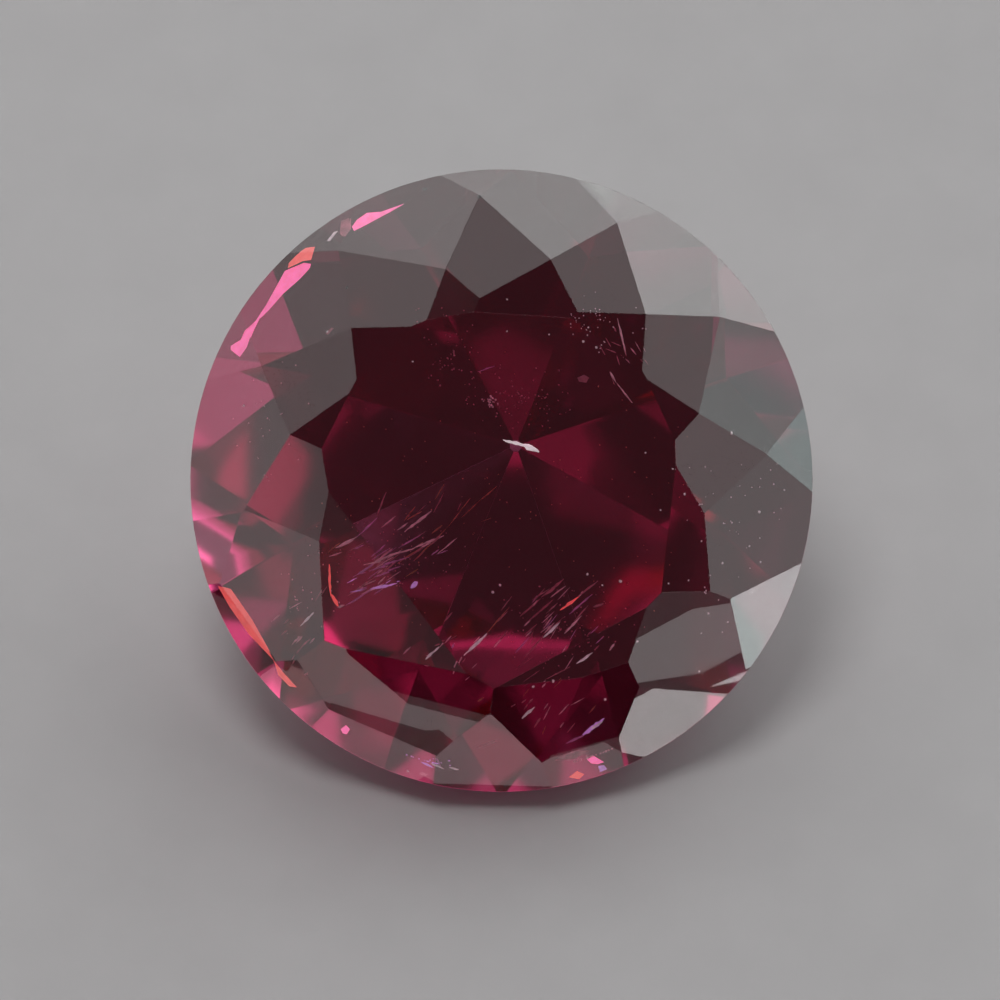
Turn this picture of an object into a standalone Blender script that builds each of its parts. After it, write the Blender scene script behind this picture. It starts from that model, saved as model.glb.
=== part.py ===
"""Faceted round rubellite, a red-pink tourmaline, lying on one facet of its pavilion.

Metres, +Z up. The stone is cut as a lapidary cuts it: a round blank is taken down one flat facet at a time.
Its crown is an uneven hand-cut one. Each crown corner has a place in plan, read on the photograph, and the
heights are solved so that every facet is flat. The origin is the middle of the stone's footprint box, at the
surface that it lies on.
"""

import math

import bmesh
import bpy
import numpy as np
from mathutils import Matrix, Vector

MM = 0.001
STONE = "rubellite_stone"

# Driving sizes, in millimetres. Heights are above the girdle's middle line.
GIRDLE_DIAMETER = 9.0
CROWN_HEIGHT = 1.4
PAVILION_DEPTH = 4.1
GIRDLE_UNDERSIDE = -0.22
GIRDLE_SIDES = 120
BLANK_SPARE = 0.5

# The girdle as it shows in the photograph, whose frame is 1000 pixels wide and high.
GIRDLE_CENTRE_PX = (501.4, 480.5)
GIRDLE_RADIUS_PX = 311.1
PX = GIRDLE_DIAMETER / 2 / GIRDLE_RADIUS_PX

# Crown corners in that frame, at pixels right and down. First the inner tips of the kites, round the table.
TABLE_TIPS = {
    "t_e": (668, 448.5), "t_ne": (641, 377), "t_n2": (577.7, 312.8), "t_n": (480, 298.5),
    "t_nw2": (425, 327.3), "t_nw": (358, 387), "t_w": (335, 455), "t_sw": (338, 646),
    "t_s": (490.5, 710.4), "t_se2": (590, 676), "t_se": (650.6, 592),
}
# The long side of the table, where the facets beside it are narrow.
TABLE_LONG_SIDE = ("t_w", "t_sw", "t_s", "t_se2", "t_se")
# Corners between the table and the girdle, anticlockwise from the right in each ring.
STAR_TIPS = {
    "s_e": (698.5, 413), "s_ne": (645.5, 314.7), "s_n": (551, 260), "s_n2": (445.5, 270),
    "s_nw": (352, 328.5), "s_w": (290, 434), "s_w2": (323, 537), "s_w3": (320, 638),
    "s_sw": (458.3, 741), "s_s": (544, 764), "s_se": (632, 657), "s_se2": (716, 590), "s_e2": (700, 513),
}
KITE_TIPS = {
    "k_e": (767, 455.5), "k_ne": (719.5, 317), "k_n2": (617.2, 223.2), "k_n": (479.4, 195.5),
    "k_nw2": (338.5, 251), "k_nw": (262, 366), "k_w": (244, 512.6), "k_w2": (218, 577),
    "k_sw": (275, 660), "k_sw2": (299, 663), "k_sw3": (331, 711), "k_s": (436, 754),
    "k_s2": (623, 735), "k_se": (633.7, 688), "k_se2": (728.3, 601),
}
# Corners on the girdle. Only their direction from the middle counts.
GIRDLE_TIPS = {
    "g_n": (512, 169.6), "g_n2": (441, 177.5), "g_ne": (575, 181), "g_ne2": (657, 213),
    "g_ne3": (716, 258), "g_ne4": (772, 333), "g_e": (793, 408), "g_e2": (808, 492),
    "g_se": (800.5, 563), "g_se2": (745, 671), "g_se3": (728, 694), "g_s": (620.5, 768),
    "g_s2": (550, 787), "g_s3": (432, 784), "g_sw": (310, 726), "g_sw2": (258, 675),
    "g_w": (212, 590), "g_w2": (194, 520), "g_nw": (207, 379), "g_nw2": (240, 311),
    "g_nw3": (289, 253), "g_nw4": (355, 206),
}

STARS = (
    ("t_e", "t_ne", "s_e"), ("t_ne", "t_n2", "s_ne"), ("t_n2", "t_n", "s_n"), ("t_n", "t_nw2", "s_n2"),
    ("t_nw2", "t_nw", "s_nw"), ("t_nw", "t_w", "s_w"), ("t_w", "s_w2", "s_w3", "t_sw"),
    ("t_sw", "s_sw", "t_s"), ("t_s", "s_s", "t_se2"), ("t_se2", "s_se", "t_se"), ("t_e", "s_e2", "s_se2", "t_se"),
)
KITES = (
    ("t_e", "s_e", "k_e", "s_e2"), ("t_ne", "s_e", "k_ne", "s_ne"), ("t_n2", "s_ne", "k_n2", "s_n"),
    ("t_n", "s_n", "k_n", "s_n2"), ("t_nw2", "s_n2", "k_nw2", "s_nw"), ("t_nw", "s_nw", "k_nw", "s_w"),
    ("t_w", "s_w", "k_w", "s_w2"), ("s_w3", "t_sw", "k_sw3", "k_sw2"), ("t_sw", "s_sw", "k_s", "k_sw3"),
    ("t_s", "s_sw", "k_s", "g_s3", "g_s2", "s_s"), ("t_se2", "s_s", "k_s2", "k_se", "s_se"),
    ("t_se", "s_se", "k_se", "g_se3", "g_se2", "k_se2", "s_se2"),
)
RIM_FACETS = (
    ("s_e", "k_e", "g_e", "g_ne4", "k_ne"), ("s_ne", "k_ne", "g_ne3", "g_ne2", "k_n2"),
    ("s_n", "k_n2", "g_ne", "g_n", "k_n"), ("s_n2", "k_n", "g_n2", "g_nw4", "k_nw2"),
    ("s_nw", "k_nw2", "g_nw3", "g_nw2", "k_nw"), ("s_w", "k_nw", "g_nw", "g_w2", "k_w"),
    ("s_w2", "k_w", "k_w2", "k_sw", "k_sw2", "s_w3"), ("s_e2", "k_e", "g_e2", "g_se", "k_se2", "s_se2"),
)
RIM_TRIANGLES = (
    ("k_n", "g_n", "g_n2"), ("k_n2", "g_ne", "g_ne2"), ("k_ne", "g_ne3", "g_ne4"), ("k_e", "g_e", "g_e2"),
    ("k_w", "g_w2", "g_w", "k_w2"), ("k_nw2", "g_nw4", "g_nw3"), ("k_nw", "g_nw2", "g_nw"),
    ("k_se2", "g_se", "g_se2"), ("k_se", "g_se3", "g_s", "k_s2"), ("s_s", "k_s2", "g_s", "g_s2"),
    ("k_s", "g_s3", "g_sw", "k_sw3"), ("k_sw", "k_w2", "g_w", "g_sw2"),
    ("k_sw", "k_sw2", "k_sw3", "g_sw", "g_sw2"),
)
CROWN_FACETS = STARS + KITES + RIM_FACETS + RIM_TRIANGLES

# How firmly each wish holds while the heights are solved, against 1 for the dome.
FLAT_FACET_WEIGHT = 60
LONG_SIDE_WEIGHT = 8
TABLE_TIP_WEIGHT = 6
GIRDLE_WEIGHT = 12
TIP_BELOW_TABLE = 0.04
# The girdle sits higher at the narrow end of the crown: its mean height and its slope across the stone.
GIRDLE_LINE = 0.10
GIRDLE_LEAN = -0.10
DOME_SHARE = 0.5
# A corner stays under the planes of other facets by this slope, so each edge between facets is a ridge.
RIDGE_SLOPE = 0.05
RIDGE_ROUNDS = 60
RIDGE_FIRST_WEIGHT = 2.25
RIDGE_MOST_WEIGHT = 60

# The pavilion hides behind the crown: its culet, off the middle, is read through the table.
CULET_PX = (516, 445)
CULET_CUT = 0.07
REST_AZIMUTH = 270
MAIN_COUNT = 8
MAIN_INDEX_ERRORS = (0, 2, -2, 3, -1, 2, -3, 1)
LOWER_HALF_REACH = 0.52

COLLECTION = "rubellite_gemstone"
COLOUR = (0.36, 0.012, 0.07, 1.0)
ROUGHNESS = 0.03
TOURMALINE_IOR = 1.63


def clear_scene():
    for thing in list(bpy.data.objects):
        bpy.data.objects.remove(thing, do_unlink=True)


def in_plan(pixel):
    """A pixel as a place in the girdle's plane, in millimetres from the stone's middle."""
    right = (pixel[0] - GIRDLE_CENTRE_PX[0]) * PX
    up = (GIRDLE_CENTRE_PX[1] - pixel[1]) * PX
    return np.array([right, up])


def crown_plan():
    """Every crown corner's place in plan, with the girdle's own put on its circle."""
    plan = {}
    for corners in (TABLE_TIPS, STAR_TIPS, KITE_TIPS):
        plan.update({name: in_plan(pixel) for name, pixel in corners.items()})
    for name, pixel in GIRDLE_TIPS.items():
        place = in_plan(pixel)
        plan[name] = place / np.hypot(*place) * GIRDLE_DIAMETER / 2
    return plan


def outward_share(place, plan):
    """How far a place is from the table's edge to the girdle, 0 to 1, along the ray from the table's middle."""
    table = np.array([plan[name] for name in TABLE_TIPS])
    middle = table.mean(axis=0)
    offset = place - middle
    distance = np.hypot(*offset)
    ray = offset / distance
    to_edge = math.inf
    for start, end in zip(table, np.roll(table, -1, axis=0)):
        along, share = np.linalg.solve(np.array([ray, start - end]).T, start - middle)
        if along > 0 and 0 <= share <= 1:
            to_edge = min(to_edge, along)
    half = ray @ middle
    to_girdle = -half + math.sqrt(half**2 - middle @ middle + (GIRDLE_DIAMETER / 2) ** 2)
    return (distance - to_edge) / (to_girdle - to_edge)


def dome_height(share):
    return CROWN_HEIGHT * (1 - (1 - DOME_SHARE) * share - DOME_SHARE * share**2)


def plane_fit(corners, plan):
    """The matrix that turns the corners' heights into their plane: slope right, slope up and height."""
    places = np.array([plan[name] for name in corners])
    return np.linalg.pinv(np.c_[places, np.ones(len(corners))])


def height_wishes(plan, order):
    """Rows of a least-squares problem for the corners' heights, with the height that each row asks for."""
    rows = []
    heights = []

    def wish(shares, height, weight):
        row = np.zeros(len(order))
        for name, share in shares.items():
            row[order[name]] += share
        rows.append(row * weight)
        heights.append(height * weight)

    for name in TABLE_TIPS:
        if name in TABLE_LONG_SIDE:
            wish({name: 1}, CROWN_HEIGHT, LONG_SIDE_WEIGHT)
        else:
            wish({name: 1}, CROWN_HEIGHT - TIP_BELOW_TABLE, TABLE_TIP_WEIGHT)
    for name in (*STAR_TIPS, *KITE_TIPS):
        wish({name: 1}, dome_height(outward_share(plan[name], plan)), 1)
    for name in GIRDLE_TIPS:
        lean = GIRDLE_LEAN * plan[name][1] / (GIRDLE_DIAMETER / 2)
        wish({name: 1}, GIRDLE_LINE + lean, GIRDLE_WEIGHT)
    for corners in CROWN_FACETS:
        places = np.array([plan[name] for name in corners])
        flat = np.c_[places, np.ones(len(corners))] @ plane_fit(corners, plan)
        for off_plane in np.eye(len(corners)) - flat:
            wish(dict(zip(corners, off_plane)), 0, FLAT_FACET_WEIGHT)
    return rows, heights


def ridge_row(corners, name, plan, order):
    """The row that holds one corner under another facet's plane, and how far under it should be."""
    row = np.zeros(len(order))
    row[order[name]] += 1
    for corner, share in zip(corners, np.array([*plan[name], 1]) @ plane_fit(corners, plan)):
        row[order[corner]] -= share
    nearest = min(np.hypot(*(plan[name] - plan[corner])) for corner in corners)
    return row, -RIDGE_SLOPE * nearest


def crown_heights(plan):
    """Heights that make the crown's facets flat and the whole crown convex."""
    order = {name: index for index, name in enumerate(plan)}
    rows, heights = height_wishes(plan, order)
    ridges = []
    for corners in CROWN_FACETS:
        for name in plan:
            if name not in corners:
                ridges.append(ridge_row(corners, name, plan, order))
    weights = np.zeros(len(ridges))
    ridge_rows = np.array([row for row, _ in ridges])
    ridge_heights = np.array([height for _, height in ridges])
    for _ in range(RIDGE_ROUNDS):
        used = weights > 0
        all_rows = np.vstack([rows, ridge_rows[used] * weights[used, None]])
        all_heights = np.concatenate([heights, ridge_heights[used] * weights[used]])
        solved = np.linalg.lstsq(all_rows, all_heights, rcond=None)[0]
        proud = ridge_rows @ solved > ridge_heights * 0.6
        weights[proud] = np.clip(weights[proud] * 1.5, RIDGE_FIRST_WEIGHT, RIDGE_MOST_WEIGHT)
    return {name: solved[index] for name, index in order.items()}


def crown_planes():
    """Each crown facet as a point on it and its outward normal."""
    plan = crown_plan()
    height = crown_heights(plan)
    planes = [(Vector((0, 0, CROWN_HEIGHT)), Vector((0, 0, 1)))]
    for corners in CROWN_FACETS:
        slope_x, slope_y, middle = plane_fit(corners, plan) @ np.array([height[name] for name in corners])
        planes.append((Vector((0, 0, middle)), Vector((-slope_x, -slope_y, 1)).normalized()))
    return planes


def rim_point(azimuth):
    """A point on the girdle's lower edge."""
    angle = math.radians(azimuth)
    radius = GIRDLE_DIAMETER / 2
    return Vector((radius * math.cos(angle), radius * math.sin(angle), GIRDLE_UNDERSIDE))


def plane_through(first, second, third):
    """The plane through three points, with its normal pointing down and out of the pavilion."""
    normal = (second - first).cross(third - first).normalized()
    if normal.z > 0:
        normal = -normal
    return first, normal


def main_plane(azimuth, culet):
    """A pavilion main: it holds the culet and meets the girdle square on at its azimuth."""
    angle = math.radians(azimuth)
    across = Vector((-math.sin(angle), math.cos(angle), 0))
    rim = rim_point(azimuth)
    return plane_through(culet, rim, rim + across)


def pavilion_planes():
    """The mains, two lower halves beside each edge between them, and the culet's own small facet."""
    culet = Vector((*in_plan(CULET_PX), -PAVILION_DEPTH))
    step = 360 / MAIN_COUNT
    azimuths = [REST_AZIMUTH + step * index + error for index, error in enumerate(MAIN_INDEX_ERRORS)]
    mains = [main_plane(azimuth, culet) for azimuth in azimuths]
    planes = list(mains)
    for index, azimuth in enumerate(azimuths):
        following = (index + 1) % MAIN_COUNT
        after = azimuths[following] + (360 if following == 0 else 0)
        edge = mains[index][1].cross(mains[following][1]).normalized()
        if edge.z < 0:
            edge = -edge
        meet = culet + edge * (LOWER_HALF_REACH * (GIRDLE_UNDERSIDE - culet.z) / edge.z)
        between = rim_point((azimuth + after) / 2)
        planes.append(plane_through(meet, rim_point(azimuth), between))
        planes.append(plane_through(meet, rim_point(after), between))
    planes.append((culet + Vector((0, 0, CULET_CUT)), Vector((0, 0, -1))))
    return planes, mains[0][1]


def cut_flat(bm, point, normal):
    """Grinds one flat facet: takes off all that stands outside the plane and closes the cut."""
    everything = bm.verts[:] + bm.edges[:] + bm.faces[:]
    cut = bmesh.ops.bisect_plane(
        bm, geom=everything, dist=1e-5, plane_co=point, plane_no=normal, clear_outer=True
    )
    rim = [item for item in cut["geom_cut"] if isinstance(item, bmesh.types.BMEdge)]
    open_rim = [edge for edge in rim if edge.is_boundary]
    if open_rim:
        bmesh.ops.edgeloop_fill(bm, edges=open_rim)


def cut_stone_mesh():
    """The whole cut stone in its own axes, table up, in millimetres, and its resting facet's normal."""
    bm = bmesh.new()
    depth = CROWN_HEIGHT + PAVILION_DEPTH + 2 * BLANK_SPARE
    middle = (CROWN_HEIGHT - PAVILION_DEPTH) / 2
    bmesh.ops.create_cone(
        bm,
        cap_ends=True,
        segments=GIRDLE_SIDES,
        radius1=GIRDLE_DIAMETER / 2,
        radius2=GIRDLE_DIAMETER / 2,
        depth=depth,
        matrix=Matrix.Translation((0, 0, middle)),
    )
    under, rest_normal = pavilion_planes()
    for point, normal in crown_planes() + under:
        cut_flat(bm, point, normal)
    bmesh.ops.remove_doubles(bm, verts=bm.verts[:], dist=2e-3)
    bmesh.ops.recalc_face_normals(bm, faces=bm.faces[:])
    return bm, rest_normal


def crystal_material():
    """Clear red-pink tourmaline."""
    material = bpy.data.materials.new("rubellite")
    material.use_nodes = True
    shader = material.node_tree.nodes["Principled BSDF"]
    shader.inputs["Base Color"].default_value = COLOUR
    shader.inputs["Roughness"].default_value = ROUGHNESS
    shader.inputs["Metallic"].default_value = 0
    shader.inputs["IOR"].default_value = TOURMALINE_IOR
    shader.inputs["Transmission Weight"].default_value = 1
    return material


def build_stone():
    """Lays the stone on its pavilion facet, so that the crown leans towards -Y."""
    bm, rest_normal = cut_stone_mesh()
    lean = rest_normal.rotation_difference(Vector((0, 0, -1))).to_matrix().to_4x4()
    bmesh.ops.transform(bm, matrix=Matrix.Scale(MM, 4) @ lean, verts=bm.verts[:])
    lows = [min(vertex.co[axis] for vertex in bm.verts) for axis in range(3)]
    highs = [max(vertex.co[axis] for vertex in bm.verts) for axis in range(3)]
    mesh = bpy.data.meshes.new(STONE)
    bm.to_mesh(mesh)
    bm.free()
    mesh.materials.append(crystal_material())
    stone = bpy.data.objects.new(STONE, mesh)
    stone.location = (-(lows[0] + highs[0]) / 2, -(lows[1] + highs[1]) / 2, -lows[2])
    return stone


def main():
    clear_scene()
    collection = bpy.data.collections.new(COLLECTION)
    bpy.context.scene.collection.children.link(collection)
    collection.objects.link(build_stone())


main()
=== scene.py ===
"""The looks of the cut rubellite: clear dark crystal with needles, healed cracks and specks inside."""

import math
import random

import bmesh
import bpy
from mathutils import Matrix, Vector
from mathutils.bvhtree import BVHTree


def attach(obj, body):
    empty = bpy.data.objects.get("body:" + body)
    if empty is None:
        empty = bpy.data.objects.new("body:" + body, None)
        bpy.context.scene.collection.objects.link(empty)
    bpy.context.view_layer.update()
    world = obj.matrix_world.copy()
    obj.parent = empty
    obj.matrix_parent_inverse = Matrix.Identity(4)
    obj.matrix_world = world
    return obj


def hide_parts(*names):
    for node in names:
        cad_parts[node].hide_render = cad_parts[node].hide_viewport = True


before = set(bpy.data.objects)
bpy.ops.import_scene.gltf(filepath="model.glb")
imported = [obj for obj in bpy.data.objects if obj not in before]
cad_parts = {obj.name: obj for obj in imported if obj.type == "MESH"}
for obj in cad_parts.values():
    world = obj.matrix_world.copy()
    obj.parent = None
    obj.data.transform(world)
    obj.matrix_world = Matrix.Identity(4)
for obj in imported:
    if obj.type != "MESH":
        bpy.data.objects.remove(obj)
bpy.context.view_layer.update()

MM = 0.001
NODE = "rubellite_stone"

# The photograph: 1000 pixels square, the girdle's circle in it, and the real girdle.
FRAME_PX = 1000
GIRDLE_CENTRE_PX = (501.4, 480.5)
GIRDLE_RADIUS_PX = 311.1
GIRDLE_RADIUS = 4.5 * MM
PX = GIRDLE_RADIUS / GIRDLE_RADIUS_PX
CROWN_HEIGHT = 1.4 * MM
# The table is the largest of the facets that face up; two faces are one facet where their normals agree.
FACES_UP = 0.5
NORMAL_DIGITS = 2

# The camera stands far off on the stone's own axis, so the face shows in plan.
LENS = 900
SENSOR = 36
CLIP_SHARES = (0.1, 30)

# The crystal. Absorption per metre is density times what the colour leaves out of 1.
CRYSTAL_IOR = 1.645
ABSORPTION_COLOUR = (0.76, 0.05, 0.40, 1)
ABSORPTION_DENSITY = 480
POLISH = "polish"
CROWN_ROUGHNESS = (0.0, 0.012)
PAVILION_ROUGHNESS = (0.05, 0.10)
GIRDLE_ROUGHNESS = (0.45, 0.55)
GIRDLE_SLOPE = 0.25
POLISH_SEED = 7
# Smudges on the polish: pattern per metre, its detail and warp, where they start and are full, and what they
# add to the roughness.
SMUDGE_SCALE = 420
SMUDGE_DETAIL = 6
SMUDGE_WARP = 0.8
SMUDGE_SPAN = (0.50, 0.78)
SMUDGE_ROUGHNESS = 0.045
# Facets within the flat angle of each other are one; ridges sharper than the sharp angle are worn.
FLAT_ANGLE = math.radians(0.25)
SHARP_RIDGE = math.radians(4)
RIDGE_WEAR = 0.006 * MM
WELD = 0.012 * MM

# The surroundings, in the stone's own frame: degrees off its axis, and degrees round it from its right.
# The hood round the camera is dark; past its rim the soft light begins.
HOOD_LEAN = (3.5, 150.0)
HOOD_RIM = (57.0, 59.0)
HOOD_LEVEL = 0.08
RING_LEVEL = 1.15
# Soft boxes inside the hood's rim are dim; the others begin only well outside it.
BOX_START = (66.0, 80.0)
WHITE = (1.00, 1.00, 1.00)
ROSY = (1.00, 0.94, 0.94)
# Soft boxes: where, reach of the full level and of the last light in degrees, level, tint.
SOFT_BOXES = (
    ("high right", 92, 50, 20, 46, 3.0, (0.94, 1.00, 0.99)),
    ("right", 80, 8, 6, 24, 1.5, (0.60, 1.00, 0.97)),
    ("above", 92, 102, 8, 30, 1.7, (1.00, 0.99, 0.99)),
    ("low right", 62, -44, 3, 12, 0.9, WHITE),
    ("front left", 41, -140, 4, 12, 0.6, (1.00, 0.95, 0.95)),
    ("upper left", 57.5, 150.5, 3.2, 5, 1.0, WHITE),
    ("front glow", 20.5, -104, 2.5, 5, 0.45, ROSY),
    ("left glow", 18, 174, 4, 8, 0.80, ROSY),
    ("upper glow", 28, 96, 5, 14, 0.70, (1.00, 0.95, 0.95)),
    ("front low glow", 33, -88, 2, 7, 0.6, ROSY),
    ("front left glow", 28, -107, 2, 6, 0.5, ROSY),
    ("low glow", 21, -58, 1, 7, 0.30, ROSY),
    ("lower left glow", 25, -173, 2, 6, 0.70, ROSY),
)
# Dark gaps between the boxes: where, reach of the dark and of its edge, and what is left there.
GAPS = (
    ("behind", 100, 86, 6.0, 9.5, 0.08),
    ("over", 66, 102, 4.0, 7.5, 0.30),
    ("far behind", 112, 90, 11.0, 16.0, 0.35),
    ("right", 93, -2, 8.0, 13.0, 0.08),
    ("right again", 86, 24, 10.0, 13.5, 0.08),
    ("low right", 76, -20, 5.0, 9.0, 0.35),
    ("left", 70, 156, 6.0, 11.0, 0.12),
)

# The looks of what lies inside: colour, roughness, and a painted glow: an emission strength that makes it
# shine as if it caught light.
LOOKS = {
    "white": ((0.86, 0.76, 0.80), 0.35, 0.12),
    "pale": ((0.80, 0.42, 0.50), 0.40, 0.08),
    "rose": ((0.46, 0.13, 0.18), 0.50, 0.05),
    "violet": ((0.56, 0.20, 0.46), 0.45, 0.08),
    "lilac": ((0.66, 0.34, 0.84), 0.35, 0.30),
    "amber": ((0.50, 0.16, 0.09), 0.50, 0.03),
    # The two strongest glows: painted highlights in coral and hot pink.
    "coral": ((1.00, 0.13, 0.12), 0.35, 0.45),
    "hot pink": ((1.00, 0.14, 0.42), 0.30, 0.62),
    # Painted highlight: pale, and glowing strongly.
    "painted_glint": ((0.86, 0.94, 0.88), 0.25, 0.55),
    "dark": ((0.012, 0.008, 0.010), 0.60, 0.0),
}
# The grain on them: pattern per metre, its detail, where it turns from dark to bright, how dark the dark is,
# and how far the roughness goes below and above its middle.
INCLUSION_SCALE = 9000
INCLUSION_DETAIL = 4
INCLUSION_RAMP = (0.36, 0.62)
INCLUSION_SHADE = 0.55
INCLUSION_SPREAD = (0.12, 0.15)

# A streak's section, the length of its steps, how blunt its ends are and how ragged its sides.
STREAK_SIDES = 6
STREAK_FLATNESS = 0.45
STREAK_STEP_PX = 3
STREAK_MIN_STEPS = 4
STREAK_TIP = 0.04
STREAK_SWELL = 0.7
STREAK_RAGGED = (0.55, 1.15)
STREAK_WANDER = 0.25
FLAKE_THICKNESS = 0.012 * MM
GRAIN_LUMPS = (0.7, 1.2)
INCLUSION_SEED = 41

# What lies inside. Each streak runs between two pixels of the photograph, at depths under the facet in
# millimetres, with its half width in pixels and its look.
STREAKS = (
    # The fan of healed cracks at the left.
    ((336, 548), (357, 537), 0.55, 0.50, 1.7, "pale"),
    ((357, 537), (377, 517), 0.55, 0.70, 1.1, "violet"),
    ((377, 516), (386, 492), 0.80, 1.00, 1.0, "rose"),
    ((405, 532), (431, 510), 0.55, 0.60, 1.6, "pale"),
    ((364, 565), (415, 547), 0.50, 0.55, 1.5, "pale"),
    ((413, 548), (444, 535), 0.55, 0.65, 1.2, "pale"),
    ((369, 571), (409, 556), 0.60, 0.65, 1.2, "violet"),
    ((409, 557), (437, 538), 0.65, 0.75, 1.1, "rose"),
    ((353, 577), (379, 561), 0.55, 0.60, 1.1, "violet"),
    ((348, 596), (374, 577), 0.50, 0.60, 1.0, "rose"),
    ((374, 577), (401, 566), 0.60, 0.70, 1.0, "violet"),
    ((346, 605), (371, 589), 0.45, 0.50, 1.2, "violet"),
    ((371, 589), (397, 582), 0.45, 0.50, 1.5, "lilac"),
    ((362, 594), (384, 583), 0.60, 0.60, 0.9, "pale"),
    ((411, 588), (419, 584), 0.45, 0.45, 3.0, "lilac"),
    ((415, 560), (449, 526), 0.90, 1.10, 0.7, "amber"),
    ((449, 526), (470, 498), 1.10, 1.30, 0.6, "amber"),
    ((431, 545), (441, 536), 0.60, 0.60, 1.3, "rose"),
    # The bent orange crack at the left end of the dark middle, its bright orange a painted highlight from
    # its glow, and the pale ones beside it.
    ((330, 564), (332, 596), 0.35, 0.35, 1.6, "coral"),
    ((332, 594), (339, 607), 0.35, 0.30, 2.0, "coral"),
    ((338, 607), (345, 605), 0.30, 0.30, 1.4, "pale"),
    ((301, 626), (314, 612), 0.25, 0.25, 1.5, "white"),
    ((316, 600), (327, 586), 0.25, 0.25, 0.9, "rose"),
    # Needles that run up to the right across the lower half.
    ((426, 659), (440, 647), 0.40, 0.45, 1.5, "white"),
    ((449, 650), (455, 643), 0.50, 0.50, 1.1, "violet"),
    ((464, 655), (487, 633), 0.45, 0.55, 1.7, "white"),
    ((487, 633), (509, 607), 0.60, 0.90, 0.7, "amber"),
    ((523, 659), (545, 634), 0.80, 0.90, 0.8, "rose"),
    ((543, 637), (558, 621), 0.45, 0.50, 1.6, "white"),
    ((564, 633), (581, 615), 0.50, 0.55, 1.4, "pale"),
    ((520, 616), (541, 599), 1.10, 1.10, 1.3, "rose"),
    ((541, 597), (564, 579), 1.10, 1.20, 1.6, "rose"),
    ((527, 622), (553, 600), 1.30, 1.40, 1.2, "rose"),
    ((560, 610), (579, 596), 0.70, 0.75, 1.6, "coral"),
    ((578, 596), (598, 581), 0.75, 0.80, 1.3, "rose"),
    ((569, 614), (592, 594), 0.90, 0.95, 1.0, "violet"),
    ((593, 607), (603, 603), 0.60, 0.60, 1.6, "rose"),
    ((576, 663), (592, 652), 0.40, 0.45, 1.5, "white"),
    ((545, 683), (570, 666), 0.90, 0.80, 0.7, "rose"),
    ((609, 650), (614, 643), 0.45, 0.45, 1.3, "pale"),
    ((522, 718), (534, 706), 0.30, 0.35, 2.1, "white"),
    ((534, 727), (540, 717), 0.40, 0.40, 1.4, "rose"),
    ((566, 743), (584, 735), 0.40, 0.40, 1.4, "violet"),
    ((583, 735), (605, 719), 0.30, 0.30, 3.0, "lilac"),
    ((590, 729), (603, 722), 0.20, 0.20, 1.6, "white"),
    ((475, 748), (497, 740), 0.30, 0.35, 1.0, "rose"),
    # Short bright ones close to the lower edge, drawn on glints by the girdle; their brightness is painted
    # glow.
    ((421, 762), (433, 768), 0.15, 0.20, 1.6, "lilac"),
    ((431, 763), (444, 769), 0.15, 0.20, 1.4, "white"),
    ((437, 758), (441, 767), 0.20, 0.20, 1.1, "violet"),
    ((449, 767), (459, 769), 0.15, 0.15, 1.3, "white"),
    # Scratch-like needles high at the right.
    ((617, 319), (625, 355), 0.35, 0.45, 1.0, "pale"),
    ((610, 372), (616, 383), 0.50, 0.50, 1.3, "pale"),
    ((616, 383), (632, 403), 0.50, 0.60, 0.8, "pale"),
    ((478, 372), (495, 366), 1.40, 1.40, 0.8, "violet"),
    # A painted highlight over the culet: pale streaks that glow with emission.
    ((503, 440), (531, 449), 0.50, 0.50, 2.2, "painted_glint"),
    ((522, 445), (539, 452), 0.55, 0.55, 3.4, "painted_glint"),
)
# Flat cracks drawn on bright glints; their looks glow, so the light they catch is painted in: corners in
# pixels, depth, look.
FLAKES = (
    (((311, 264), (304, 263), (285, 271), (278, 284), (267, 304), (256, 321), (262, 317), (269, 310),
      (283, 294), (300, 279), (310, 268)), 0.20, "hot pink"),
    (((261, 316), (256, 321), (245, 331), (241, 340), (231, 346), (231, 350), (240, 357), (247, 347),
      (254, 330)), 0.20, "hot pink"),
    (((311, 260), (315, 247), (306, 248), (297, 255), (289, 263), (288, 268), (303, 261)), 0.14, "coral"),
    (((354, 231), (352, 227), (357, 220), (367, 213), (381, 212), (404, 204), (390, 212), (377, 219),
      (364, 226)), 0.18, "hot pink"),
    (((351, 229), (349, 218), (341, 221), (340, 234), (345, 237)), 0.30, "rose"),
    (((327, 241), (334, 232), (338, 231), (330, 241)), 0.10, "white"),
    (((326, 334), (332, 328), (334, 329), (328, 335)), 0.10, "rose"),
    (((218, 586), (231, 589), (252, 619), (274, 660), (249, 634), (230, 607)), 0.20, "coral"),
    (((274, 660), (285, 674), (297, 687), (290, 686), (279, 675)), 0.16, "coral"),
    (((587, 759), (594, 756), (604, 762), (597, 764), (591, 763)), 0.20, "hot pink"),
    (((598, 766), (604, 765), (607, 769), (600, 772)), 0.22, "lilac"),
    (((569, 777), (577, 771), (584, 774), (579, 779)), 0.14, "coral"),
    (((555, 760), (572, 751), (590, 750), (574, 759)), 0.30, "rose"),
    (((341, 729), (346, 725), (350, 729), (347, 734), (343, 733)), 0.18, "hot pink"),
    (((584, 375), (589, 378), (586, 383), (579, 382), (577, 378)), 0.90, "rose"),
)
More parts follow.
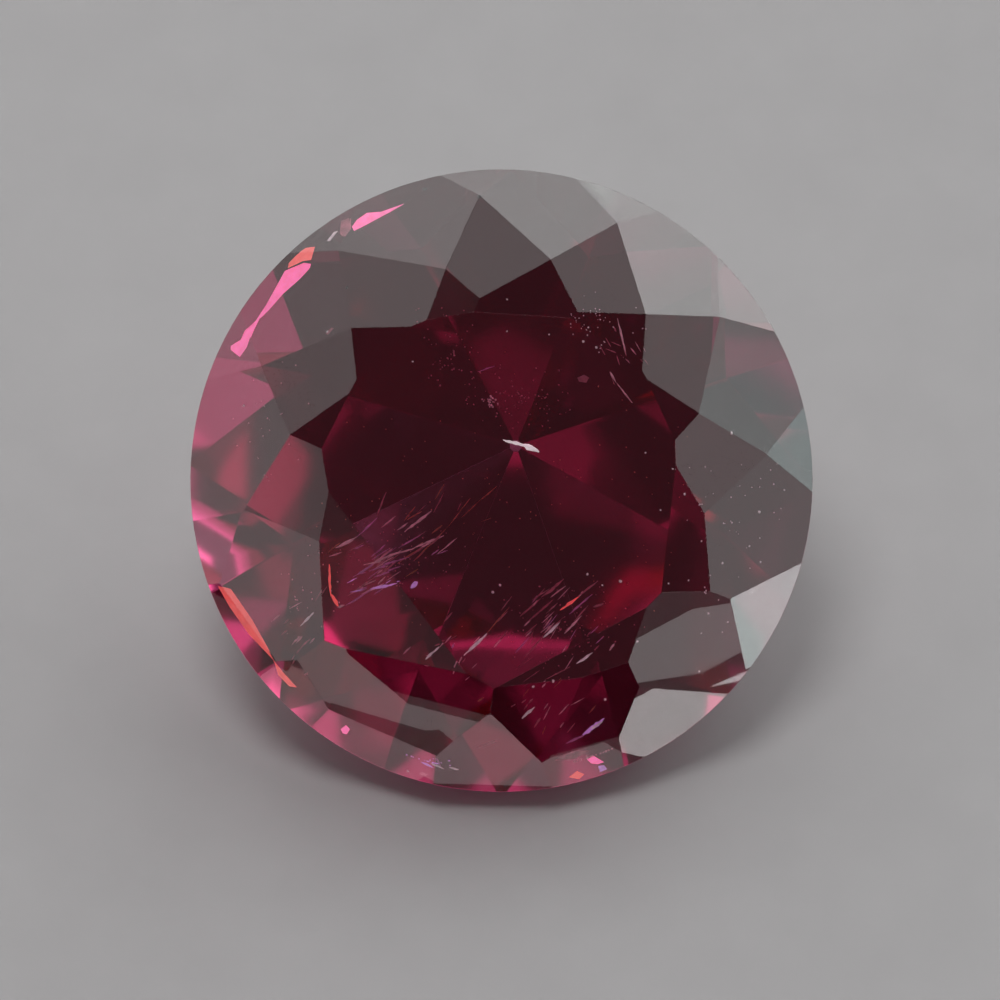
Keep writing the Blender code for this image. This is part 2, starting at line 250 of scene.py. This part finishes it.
# Fine needles in fans: middle and spread in pixels, count, depths, shortest and longest in pixels, slope in
# degrees, looks.
FANS = (
    ((392, 556), (62, 40), 34, (0.45, 1.20), (7, 26), 34, ("rose", "violet", "pale", "amber")),
    ((372, 588), (26, 16), 12, (0.40, 0.70), (6, 16), 30, ("violet", "lilac", "pale")),
    ((548, 622), (64, 44), 34, (0.50, 1.40), (6, 22), 46, ("rose", "rose", "pale", "violet")),
    ((530, 700), (70, 34), 18, (0.30, 0.90), (5, 16), 48, ("rose", "pale", "amber")),
    ((455, 640), (60, 40), 12, (0.50, 1.20), (5, 16), 44, ("rose", "rose", "pale")),
    ((300, 640), (36, 44), 12, (0.20, 0.40), (5, 15), 44, ("rose", "pale")),
    ((610, 360), (40, 50), 8, (0.50, 1.20), (6, 18), -62, ("rose", "rose", "pale")),
    ((440, 500), (60, 50), 10, (0.90, 1.80), (8, 26), 50, ("amber", "rose")),
)
FAN_SCATTER = 9
SCATTER_LIMIT_PX = 290
FAN_WIDTH = (0.35, 0.95)
# Clouds of grains: middle and spread in pixels, count, depths, radii in pixels, look.
CLOUDS = (
    ((520, 395), (58, 34), 90, (0.6, 2.2), (0.5, 1.1), "rose"),
    ((455, 355), (34, 44), 50, (0.6, 2.0), (0.5, 1.2), "rose"),
    # Painted highlight: pale glowing grains beside the culet.
    ((490, 402), (9, 7), 22, (0.5, 1.0), (0.6, 1.3), "pale"),
    ((400, 560), (70, 46), 80, (0.4, 1.6), (0.4, 1.0), "rose"),
    ((560, 630), (74, 52), 90, (0.4, 1.6), (0.4, 1.0), "rose"),
    # Painted highlights: glowing grains on glints by the lower edge.
    ((595, 765), (26, 12), 26, (0.15, 0.35), (0.6, 1.5), "pale"),
    ((430, 764), (30, 6), 22, (0.12, 0.20), (0.5, 1.2), "lilac"),
    ((300, 600), (44, 60), 30, (0.15, 0.50), (0.4, 1.0), "pale"),
    ((270, 420), (46, 80), 26, (0.15, 0.60), (0.4, 0.9), "pale"),
    ((730, 520), (56, 110), 44, (0.08, 0.60), (0.4, 0.9), "white"),
    ((600, 320), (50, 40), 26, (0.20, 0.90), (0.4, 0.9), "white"),
    ((500, 500), (190, 150), 110, (0.4, 2.4), (0.4, 0.8), "amber"),
)
# Pinpoints: pixel, depth, radius in pixels.
PINPOINTS = (
    ((549, 335), 0.20, 1.0), ((583, 342), 0.12, 1.5), ((596, 348), 0.15, 1.3), ((588, 328), 0.25, 1.0),
    ((507, 300), 0.20, 1.1), ((507, 332), 0.30, 1.0), ((413, 362), 0.25, 1.1), ((645, 453), 0.20, 1.0),
    ((620, 581), 0.12, 1.8), ((587, 574), 0.20, 1.4), ((668, 583), 0.10, 1.1), ((688, 580), 0.10, 1.1),
    ((660, 510), 0.25, 1.0), ((672, 469), 0.15, 1.1), ((684, 494), 0.10, 1.4), ((701, 541), 0.10, 1.0),
    ((731, 433), 0.05, 1.6), ((759, 512), 0.05, 1.7), ((784, 490), 0.05, 1.1), ((749, 546), 0.05, 1.3),
    ((722, 563), 0.05, 1.4), ((760, 562), 0.05, 1.1), ((708, 613), 0.05, 1.2), ((701, 633), 0.05, 1.0),
    ((722, 632), 0.05, 1.0), ((699, 671), 0.05, 1.2), ((637, 641), 0.08, 1.4), ((244, 406), 0.06, 1.2),
    ((533, 686), 0.25, 1.6), ((553, 681), 0.20, 1.5), ((605, 699), 0.15, 1.5), ((328, 332), 0.06, 1.3),
    ((602, 585), 0.30, 1.2), ((493, 592), 0.60, 1.9), ((500, 585), 0.80, 1.5), ((408, 771), 0.10, 1.3),
)
SPECKS = (((425, 189), 0.10, 3.0), ((479, 197), 0.09, 2.6), ((347, 288), 0.10, 2.0))

# Low panels beside the stone: centre and size in millimetres, how far they face away from it in degrees,
# radiance, tint.
PANELS = (
    ("right", (9.4, -4.2), (6.4, 3.6), 4.5, 4.9, (0.85, 1.00, 0.98)),
    ("near right", (4.0, -4.7), (2.6, 2.2), 0, 3.6, (0.97, 1.00, 0.99)),
    ("front left", (-8.0, -13.0), (7.0, 6.0), 0, 0.95, (1.00, 0.97, 0.97)),
    ("front right", (10.8, -10.8), (4.0, 4.0), 0, 1.3, WHITE),
    ("near front", (0.4, -5.2), (4.0, 2.0), 0, 0.9, (1.00, 0.97, 0.97)),
    ("near left", (-3.8, -4.2), (4.6, 2.6), 0, 0.8, (1.00, 0.95, 0.95)),
)
PANEL_HEIGHT = 0.15 * MM
# Black cards on the floor, in millimetres: centre and size. Only the facets see them: those that face one
# go dark and show the red inside.
CARDS = (
    ("front", (3.2, -11.0), (8.5, 8.0)),
    ("near left", (-6.6, -0.4), (7.4, 4.2)),
    ("far front", (-9.5, -24.0), (16.0, 13.0)),
    ("left", (-32.0, -12.0), (26.0, 18.0)),
)
CARD_HEIGHT = 0.1 * MM
CARD_COLOUR = (0.01, 0.01, 0.01, 1)
# The soft light over the stone draws its shadow: place and size in metres, power in watts.
TOP_PLACE = (-0.03, 0.02, 0.20)
TOP_SIZE = 0.09
TOP_POWER = 0.22

# The floor stops just short of the resting facet, as two dry surfaces do, so the facet mirrors from inside.
FLOOR_RADIUS = 1.5
FLOOR_SEGMENTS = 96
FLOOR_TONES = ((0.256, 0.248, 0.251, 1), (0.266, 0.258, 0.261, 1))
FLOOR_SCALE = 700
FLOOR_DETAIL = 5
FLOOR_RAMP = (0.3, 0.7)
FLOOR_ROUGHNESS = 0.9
FLOOR_SPECULAR = 0.1
AIR_GAP = 0.006 * MM

# How often light may turn in the crystal.
MAX_BOUNCES = 12
GLOSSY_BOUNCES = 8
TRANSMISSION_BOUNCES = 11
TRANSPARENT_BOUNCES = 8
INDIRECT_CLAMP = 6

scene = bpy.context.scene


def stone_axes():
    """The stone's own frame: its right, its up, its axis out of the table, and the middle of its girdle."""
    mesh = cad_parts[NODE].data
    areas = {}
    for face in mesh.polygons:
        if face.normal.z > FACES_UP:
            key = tuple(round(value, NORMAL_DIGITS) for value in face.normal)
            areas.setdefault(key, []).append(face)
    table = max(areas.values(), key=lambda faces: sum(face.area for face in faces))
    axis = sum((face.normal * face.area for face in table), Vector()).normalized()
    right = Vector((0, 1, 0)).cross(axis).normalized()
    up = axis.cross(right)
    spans = []
    for direction in (right, up, axis):
        along = [vertex.co.dot(direction) for vertex in mesh.vertices]
        spans.append((min(along), max(along)))
    middle = right * sum(spans[0]) / 2 + up * sum(spans[1]) / 2 + axis * (spans[2][1] - CROWN_HEIGHT)
    return right, up, axis, middle


RIGHT, UP, AXIS, MIDDLE = stone_axes()


def from_photo(pixel, height=0.0):
    """The place of a pixel at a height above the girdle's middle plane, in metres."""
    across = (pixel[0] - GIRDLE_CENTRE_PX[0]) * PX
    along = (GIRDLE_CENTRE_PX[1] - pixel[1]) * PX
    return MIDDLE + RIGHT * across + UP * along + AXIS * height


def new_material(name):
    material = bpy.data.materials.new(name)
    material.use_nodes = True
    nodes = material.node_tree.nodes
    return material, nodes, material.node_tree.links, nodes["Principled BSDF"]


def crystal_material():
    material, nodes, links, shader = new_material("rubellite_crystal")
    shader.inputs["Base Color"].default_value = (1, 1, 1, 1)
    shader.inputs["Roughness"].default_value = 0.0
    shader.inputs["IOR"].default_value = CRYSTAL_IOR
    shader.inputs["Transmission Weight"].default_value = 1
    polish = nodes.new("ShaderNodeAttribute")
    polish.attribute_name = POLISH
    place = nodes.new("ShaderNodeTexCoord")
    smudge = nodes.new("ShaderNodeTexNoise")
    smudge.inputs["Scale"].default_value = SMUDGE_SCALE
    smudge.inputs["Detail"].default_value = SMUDGE_DETAIL
    smudge.inputs["Distortion"].default_value = SMUDGE_WARP
    links.new(place.outputs["Object"], smudge.inputs["Vector"])
    haze = nodes.new("ShaderNodeMapRange")
    haze.inputs["From Min"].default_value = SMUDGE_SPAN[0]
    haze.inputs["From Max"].default_value = SMUDGE_SPAN[1]
    haze.inputs["To Max"].default_value = SMUDGE_ROUGHNESS
    links.new(smudge.outputs["Fac"], haze.inputs["Value"])
    rough = nodes.new("ShaderNodeMath")
    rough.operation = "ADD"
    links.new(polish.outputs["Fac"], rough.inputs[0])
    links.new(haze.outputs["Result"], rough.inputs[1])
    links.new(rough.outputs[0], shader.inputs["Roughness"])
    absorption = nodes.new("ShaderNodeVolumeAbsorption")
    absorption.inputs["Color"].default_value = ABSORPTION_COLOUR
    absorption.inputs["Density"].default_value = ABSORPTION_DENSITY
    links.new(absorption.outputs[0], nodes["Material Output"].inputs["Volume"])
    return material


def floor_material():
    """Smooth pale card with the faintest grain."""
    material, nodes, links, shader = new_material("pale_floor")
    place = nodes.new("ShaderNodeTexCoord")
    grain = nodes.new("ShaderNodeTexNoise")
    grain.inputs["Scale"].default_value = FLOOR_SCALE
    grain.inputs["Detail"].default_value = FLOOR_DETAIL
    links.new(place.outputs["Object"], grain.inputs["Vector"])
    ramp = nodes.new("ShaderNodeValToRGB")
    low, high = ramp.color_ramp.elements
    low.position, high.position = FLOOR_RAMP
    low.color, high.color = FLOOR_TONES
    links.new(grain.outputs["Fac"], ramp.inputs["Fac"])
    links.new(ramp.outputs["Color"], shader.inputs["Base Color"])
    shader.inputs["Roughness"].default_value = FLOOR_ROUGHNESS
    shader.inputs["Specular IOR Level"].default_value = FLOOR_SPECULAR
    return material


def store_polish(mesh):
    """Each facet's own polish: fine on the crown, duller on the pavilion, ground on the girdle."""
    rng = random.Random(POLISH_SEED)
    values = []
    for face in mesh.polygons:
        facing = face.normal.dot(AXIS)
        if facing > GIRDLE_SLOPE:
            span = CROWN_ROUGHNESS
        elif facing < -GIRDLE_SLOPE:
            span = PAVILION_ROUGHNESS
        else:
            span = GIRDLE_ROUGHNESS
        values.append(rng.uniform(*span))
    mesh.attributes.new(POLISH, "FLOAT", "FACE").data.foreach_set("value", values)


def build_gem():
    """The stone itself: the CAD solid's facets with the ridges between them worn by a few microns."""
    bm = bmesh.new()
    bm.from_mesh(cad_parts[NODE].data)
    bmesh.ops.remove_doubles(bm, verts=bm.verts[:], dist=WELD)
    bmesh.ops.dissolve_limit(
        bm, angle_limit=FLAT_ANGLE, verts=bm.verts[:], edges=bm.edges[:], delimit=set()
    )
    bmesh.ops.recalc_face_normals(bm, faces=bm.faces[:])
    ridges = [edge for edge in bm.edges if edge.calc_face_angle() > SHARP_RIDGE]
    bmesh.ops.bevel(
        bm, geom=ridges, offset=RIDGE_WEAR, offset_type="OFFSET", segments=1,
        profile=0.5, affect="EDGES", clamp_overlap=True,
    )
    bmesh.ops.recalc_face_normals(bm, faces=bm.faces[:])
    mesh = bpy.data.meshes.new("rubellite_gem")
    bm.to_mesh(mesh)
    bm.free()
    store_polish(mesh)
    mesh.materials.append(crystal_material())
    gem = bpy.data.objects.new("rubellite_gem", mesh)
    scene.collection.objects.link(gem)
    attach(gem, "root")
    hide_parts(NODE)
    return gem


def build_tree(gem):
    bm = bmesh.new()
    bm.from_mesh(gem.data)
    tree = BVHTree.FromBMesh(bm)
    bm.free()
    return tree


def inside_at(tree, pixel, depth):
    """The place a depth along the bent line of sight under the facet that shows at a pixel."""
    start = from_photo(pixel, CROWN_HEIGHT + MM)
    spot, normal, _index, _distance = tree.ray_cast(start, -AXIS)
    facing = normal.dot(AXIS)
    ratio = 1 / CRYSTAL_IOR
    bend = ratio * facing - math.sqrt(1 - ratio ** 2 * (1 - facing ** 2))
    return spot + (-AXIS * ratio + normal * bend) * depth


def inclusion_material(name, colour, roughness, painted_glint):
    """A crack face or needle: pale, uneven, half glossy where a film of air lies in it. Its painted glow,
    where given, is emission that stands in for light caught in it.
    """
    material, nodes, links, shader = new_material("inclusion_" + name.replace(" ", "_"))
    place = nodes.new("ShaderNodeTexCoord")
    grain = nodes.new("ShaderNodeTexNoise")
    grain.inputs["Scale"].default_value = INCLUSION_SCALE
    grain.inputs["Detail"].default_value = INCLUSION_DETAIL
    links.new(place.outputs["Object"], grain.inputs["Vector"])
    ramp = nodes.new("ShaderNodeValToRGB")
    low, high = ramp.color_ramp.elements
    low.position, high.position = INCLUSION_RAMP
    low.color = tuple(channel * INCLUSION_SHADE for channel in colour) + (1,)
    high.color = colour + (1,)
    links.new(grain.outputs["Fac"], ramp.inputs["Fac"])
    links.new(ramp.outputs["Color"], shader.inputs["Base Color"])
    spread = nodes.new("ShaderNodeMapRange")
    spread.inputs["To Min"].default_value = roughness - INCLUSION_SPREAD[0]
    spread.inputs["To Max"].default_value = roughness + INCLUSION_SPREAD[1]
    links.new(grain.outputs["Fac"], spread.inputs["Value"])
    links.new(spread.outputs["Result"], shader.inputs["Roughness"])
    # Painted light: emission makes the inclusion glow as if it caught light.
    if painted_glint:
        shader.inputs["Emission Color"].default_value = colour + (1,)
        shader.inputs["Emission Strength"].default_value = painted_glint
    return material


def add_streak(bm, start, end, half_width, rng):
    """A flattened, ragged splinter between two places, thin at both ends."""
    along = end - start
    length = along.length
    along.normalize()
    across = along.cross(AXIS).normalized()
    lift = along.cross(across)
    rings = []
    count = max(STREAK_MIN_STEPS, int(length / (STREAK_STEP_PX * PX)))
    wander = 0.0
    for step in range(count + 1):
        share = step / count
        swell = math.sin(math.pi * min(max(share, STREAK_TIP), 1 - STREAK_TIP)) ** STREAK_SWELL
        radius = half_width * swell * rng.uniform(*STREAK_RAGGED)
        wander += rng.uniform(-STREAK_WANDER, STREAK_WANDER) * half_width
        middle = start + along * (length * share) + across * wander
        corners = []
        for corner in range(STREAK_SIDES):
            turn = 2 * math.pi * corner / STREAK_SIDES
            offset = across * math.cos(turn) + lift * (math.sin(turn) * STREAK_FLATNESS)
            corners.append(bm.verts.new(middle + offset * radius))
        rings.append(corners)
    for one, other in zip(rings, rings[1:]):
        for corner in range(STREAK_SIDES):
            after = (corner + 1) % STREAK_SIDES
            bm.faces.new((one[corner], one[after], other[after], other[corner]))
    bm.faces.new(list(reversed(rings[0])))
    bm.faces.new(rings[-1])


def add_flake(bm, corners, thickness):
    """A thin closed chip with the outline of its corners."""
    half = AXIS * (thickness / 2)
    top = [bm.verts.new(corner + half) for corner in corners]
    bottom = [bm.verts.new(corner - half) for corner in corners]
    bm.faces.new(top)
    bm.faces.new(list(reversed(bottom)))
    for index in range(len(corners)):
        after = (index + 1) % len(corners)
        bm.faces.new((top[after], top[index], bottom[index], bottom[after]))


def add_grain(bm, centre, radius, rng):
    """A tiny lumpy crystal."""
    before = len(bm.verts)
    bmesh.ops.create_icosphere(bm, subdivisions=1, radius=radius, matrix=Matrix.Translation(centre))
    bm.verts.ensure_lookup_table()
    for vert in bm.verts[before:]:
        vert.co = centre + (vert.co - centre) * rng.uniform(*GRAIN_LUMPS)


def finish_inclusions(bm, name, material):
    bmesh.ops.recalc_face_normals(bm, faces=bm.faces[:])
    mesh = bpy.data.meshes.new(name)
    bm.to_mesh(mesh)
    bm.free()
    mesh.materials.append(material)
    piece = bpy.data.objects.new(name, mesh)
    scene.collection.objects.link(piece)
    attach(piece, "root")
    return piece


def scattered(middle, spread, rng):
    """A random pixel, thickest in the middle of its patch and never past the patch's edge."""
    turn = rng.uniform(0, 2 * math.pi)
    reach = rng.random()
    across = spread[0] * reach * math.cos(turn)
    along = spread[1] * reach * math.sin(turn)
    pixel = Vector((middle[0] + across, middle[1] + along))
    out = pixel - Vector(GIRDLE_CENTRE_PX)
    if out.length > SCATTER_LIMIT_PX:
        pixel = Vector(GIRDLE_CENTRE_PX) + out.normalized() * SCATTER_LIMIT_PX
    return pixel


def build_inclusions(tree):
    """Needles, healed cracks, flat cracks, pinpoints and dark specks, each look in one piece; all but the
    dark specks glow with painted light.
    """
    rng = random.Random(INCLUSION_SEED)
    batches = {look: bmesh.new() for look in LOOKS}
    for start, end, start_depth, end_depth, half_width, look in STREAKS:
        one = inside_at(tree, start, start_depth * MM)
        other = inside_at(tree, end, end_depth * MM)
        add_streak(batches[look], one, other, half_width * PX, rng)
    # The flat cracks are drawn on glints; their glow paints the light they catch.
    for corners, depth, look in FLAKES:
        places = [inside_at(tree, corner, depth * MM) for corner in corners]
        add_flake(batches[look], places, FLAKE_THICKNESS)
    for middle, spread, count, depths, lengths, slope, looks in FANS:
        for _needle in range(count):
            pixel = scattered(middle, spread, rng)
            depth = rng.uniform(*depths)
            turn = math.radians(slope + rng.gauss(0, FAN_SCATTER))
            reach = rng.uniform(*lengths) / 2
            step = (math.cos(turn) * reach, -math.sin(turn) * reach)
            one = inside_at(tree, (pixel[0] - step[0], pixel[1] - step[1]), depth * MM)
            other = inside_at(tree, (pixel[0] + step[0], pixel[1] + step[1]), depth * MM)
            add_streak(batches[rng.choice(looks)], one, other, rng.uniform(*FAN_WIDTH) * PX, rng)
    for middle, spread, count, depths, radii, look in CLOUDS:
        for _grain in range(count):
            place = inside_at(tree, scattered(middle, spread, rng), rng.uniform(*depths) * MM)
            add_grain(batches[look], place, rng.uniform(*radii) * PX, rng)
    for pixel, depth, radius in PINPOINTS:
        add_grain(batches["white"], inside_at(tree, pixel, depth * MM), radius * PX, rng)
    for pixel, depth, radius in SPECKS:
        add_grain(batches["dark"], inside_at(tree, pixel, depth * MM), radius * PX, rng)
    for look, bm in batches.items():
        colour, roughness, painted_glint = LOOKS[look]
        material = inclusion_material(look, colour, roughness, painted_glint)
        finish_inclusions(bm, "inclusions_" + look.replace(" ", "_"), material)


def build_floor():
    bm = bmesh.new()
    bmesh.ops.create_circle(bm, cap_ends=True, segments=FLOOR_SEGMENTS, radius=FLOOR_RADIUS)
    mesh = bpy.data.meshes.new("floor")
    bm.to_mesh(mesh)
    bm.free()
    mesh.materials.append(floor_material())
    floor = bpy.data.objects.new("floor", mesh)
    floor.location.z = -AIR_GAP
    scene.collection.objects.link(floor)


def stone_direction(off_axis, round_axis):
    """A world direction from its degrees off the stone's axis and round it."""
    off = math.radians(off_axis)
    turn = math.radians(round_axis)
    flat = RIGHT * math.cos(turn) + UP * math.sin(turn)
    return AXIS * math.cos(off) + flat * math.sin(off)


def soft_step(nodes, links, facing, from_cosine, to_cosine, level):
    """A smooth rise from nothing to a level as the cosine goes from one value to the other."""
    step = nodes.new("ShaderNodeMapRange")
    step.interpolation_type = "SMOOTHSTEP"
    step.inputs["From Min"].default_value = from_cosine
    step.inputs["From Max"].default_value = to_cosine
    step.inputs["To Max"].default_value = level
    links.new(facing, step.inputs["Value"])
    return step.outputs["Result"]


def build_surroundings():
    """Soft studio light all round, dark only in the hood that the camera looks out of."""
    world = bpy.data.worlds.new("studio")
    scene.world = world
    world.use_nodes = True
    nodes = world.node_tree.nodes
    links = world.node_tree.links
    direction = nodes.new("ShaderNodeTexCoord").outputs["Generated"]

    def facing(toward):
        dot = nodes.new("ShaderNodeVectorMath")
        dot.operation = "DOT_PRODUCT"
        dot.inputs[1].default_value = toward
        links.new(direction, dot.inputs[0])
        return dot.outputs["Value"]

    rim = [math.cos(math.radians(angle)) for angle in HOOD_RIM]
    start = [math.cos(math.radians(angle)) for angle in BOX_START]
    hood = facing(stone_direction(*HOOD_LEAN))
    straight = facing(AXIS)
    total = soft_step(nodes, links, hood, rim[0], rim[1], RING_LEVEL)
    total = tinted(nodes, links, total, (1, 1, 1))
    for _name, off_axis, round_axis, full, last, level, tint in SOFT_BOXES:
        toward = facing(stone_direction(off_axis, round_axis))
        near, far = math.cos(math.radians(full)), math.cos(math.radians(last))
        box = soft_step(nodes, links, toward, far, near, level)
        if off_axis > BOX_START[0]:
            gate = soft_step(nodes, links, straight, start[0], start[1], 1.0)
            product = nodes.new("ShaderNodeMath")
            product.operation = "MULTIPLY"
            links.new(box, product.inputs[0])
            links.new(gate, product.inputs[1])
            box = product.outputs[0]
        total = added(nodes, links, total, tinted(nodes, links, box, tint))
    for _name, off_axis, round_axis, dark, edge, left_over in GAPS:
        toward = facing(stone_direction(off_axis, round_axis))
        near, far = math.cos(math.radians(dark)), math.cos(math.radians(edge))
        share = nodes.new("ShaderNodeMapRange")
        share.interpolation_type = "SMOOTHSTEP"
        share.inputs["From Min"].default_value = far
        share.inputs["From Max"].default_value = near
        share.inputs["To Min"].default_value = 1.0
        share.inputs["To Max"].default_value = left_over
        links.new(toward, share.inputs["Value"])
        total = scaled(nodes, links, total, share.outputs["Result"])
    floor_level = nodes.new("ShaderNodeCombineXYZ")
    for index in range(3):
        floor_level.inputs[index].default_value = HOOD_LEVEL
    total = added(nodes, links, total, floor_level.outputs[0])
    links.new(total, nodes["Background"].inputs["Color"])


def tinted(nodes, links, level, tint):
    scale = nodes.new("ShaderNodeVectorMath")
    scale.operation = "SCALE"
    scale.inputs[0].default_value = tint
    links.new(level, scale.inputs["Scale"])
    return scale.outputs[0]


def scaled(nodes, links, colour, share):
    scale = nodes.new("ShaderNodeVectorMath")
    scale.operation = "SCALE"
    links.new(colour, scale.inputs[0])
    links.new(share, scale.inputs["Scale"])
    return scale.outputs[0]


def added(nodes, links, one, other):
    total = nodes.new("ShaderNodeVectorMath")
    total.operation = "ADD"
    links.new(one, total.inputs[0])
    links.new(other, total.inputs[1])
    return total.outputs[0]


def build_panels():
    """Small flat light panels that lie round the stone and face up, so they light only the stone."""
    for name, centre, size, lean, radiance, tint in PANELS:
        data = bpy.data.lights.new("panel " + name, "AREA")
        data.shape = "RECTANGLE"
        data.color = tint
        data.size = size[0] * MM
        data.size_y = size[1] * MM
        data.energy = radiance * math.pi * data.size * data.size_y
        panel = bpy.data.objects.new("panel " + name, data)
        away = Vector((centre[0], centre[1], 0)).normalized()
        lift = math.sin(math.radians(lean)) * max(size) * MM / 2
        panel.location = (centre[0] * MM, centre[1] * MM, PANEL_HEIGHT + lift)
        turn = Matrix.Rotation(math.radians(lean), 3, Vector((0, 0, 1)).cross(away))
        panel.rotation_mode = "QUATERNION"
        panel.rotation_quaternion = (turn @ Matrix.Rotation(math.pi, 3, "X")).to_quaternion()
        panel.visible_camera = False
        scene.collection.objects.link(panel)


def build_cards():
    """The black cards: flat, just above the floor, seen only in the facets."""
    material, _nodes, _links, shader = new_material("black_card")
    shader.inputs["Base Color"].default_value = CARD_COLOUR
    shader.inputs["Roughness"].default_value = 1.0
    shader.inputs["Specular IOR Level"].default_value = 0.0
    for name, centre, size in CARDS:
        bm = bmesh.new()
        place = Matrix.Translation((centre[0] * MM, centre[1] * MM, CARD_HEIGHT))
        stretch = Matrix.Diagonal((size[0] * MM, size[1] * MM, 1, 1))
        bmesh.ops.create_grid(bm, x_segments=1, y_segments=1, size=0.5, matrix=place @ stretch)
        mesh = bpy.data.meshes.new("card " + name)
        bm.to_mesh(mesh)
        bm.free()
        mesh.materials.append(material)
        card = bpy.data.objects.new("card " + name, mesh)
        card.visible_camera = False
        card.visible_diffuse = False
        card.visible_shadow = False
        scene.collection.objects.link(card)


def build_top_light():
    """The soft light over the stone; the facets don't mirror it."""
    data = bpy.data.lights.new("top", "AREA")
    data.shape = "DISK"
    data.size = TOP_SIZE
    data.energy = TOP_POWER
    light = bpy.data.objects.new("top", data)
    light.location = TOP_PLACE
    light.rotation_mode = "QUATERNION"
    light.rotation_quaternion = (-Vector(TOP_PLACE)).to_track_quat("-Z", "Y")
    light.visible_glossy = False
    light.visible_transmission = False
    scene.collection.objects.link(light)


def build_camera():
    data = bpy.data.cameras.new("camera")
    data.lens = LENS
    data.sensor_width = SENSOR
    camera = bpy.data.objects.new("camera", data)
    scene.collection.objects.link(camera)
    scene.camera = camera
    target = from_photo((FRAME_PX / 2, FRAME_PX / 2))
    distance = FRAME_PX * PX * LENS / SENSOR
    camera.location = target + AXIS * distance
    camera.rotation_mode = "QUATERNION"
    camera.rotation_quaternion = (-AXIS).to_track_quat("-Z", "Y")
    data.clip_start = distance * CLIP_SHARES[0]
    data.clip_end = distance * CLIP_SHARES[1]


def set_light_paths():
    scene.cycles.sampling_pattern = "TABULATED_SOBOL"
    scene.cycles.max_bounces = MAX_BOUNCES
    scene.cycles.glossy_bounces = GLOSSY_BOUNCES
    scene.cycles.transmission_bounces = TRANSMISSION_BOUNCES
    scene.cycles.transparent_max_bounces = TRANSPARENT_BOUNCES
    scene.cycles.sample_clamp_indirect = INDIRECT_CLAMP
    scene.view_settings.view_transform = "Standard"


gem = build_gem()
build_inclusions(build_tree(gem))
build_floor()
build_surroundings()
build_panels()
build_cards()
build_top_light()
build_camera()
set_light_paths()
